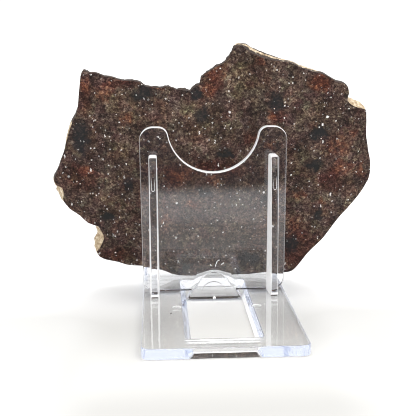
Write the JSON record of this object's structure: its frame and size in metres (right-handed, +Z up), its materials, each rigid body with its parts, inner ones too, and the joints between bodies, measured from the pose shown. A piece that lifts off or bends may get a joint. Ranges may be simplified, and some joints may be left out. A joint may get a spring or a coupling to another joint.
{
  "type": "chondrite meteorite slice on a clear display stand",
  "caption": "Sawn chondrite meteorite slice with a natural crusted edge, leaning on a clear plastic stand of base and scalloped back plate.",
  "frame": {"origin": "centre of the footprint box, on the surface the stand's base rests on", "axes": "+Z up; +X across the slice; the stand's tail runs towards -Y and the slice stands on the ledge towards +Y, leaning back towards -Y"},
  "size_m": [0.1, 0.0738, 0.0788],
  "materials": {
    "meteorite": "sawn and ground face, satin, speckled; rough tan crust on the edge",
    "clear_plastic": "clear, glossy, moulded"
  },
  "bodies": {
    "root": {"slice": "meteorite", "stand_base": "clear_plastic", "stand_back": "clear_plastic"}
  },
  "joints": []
}
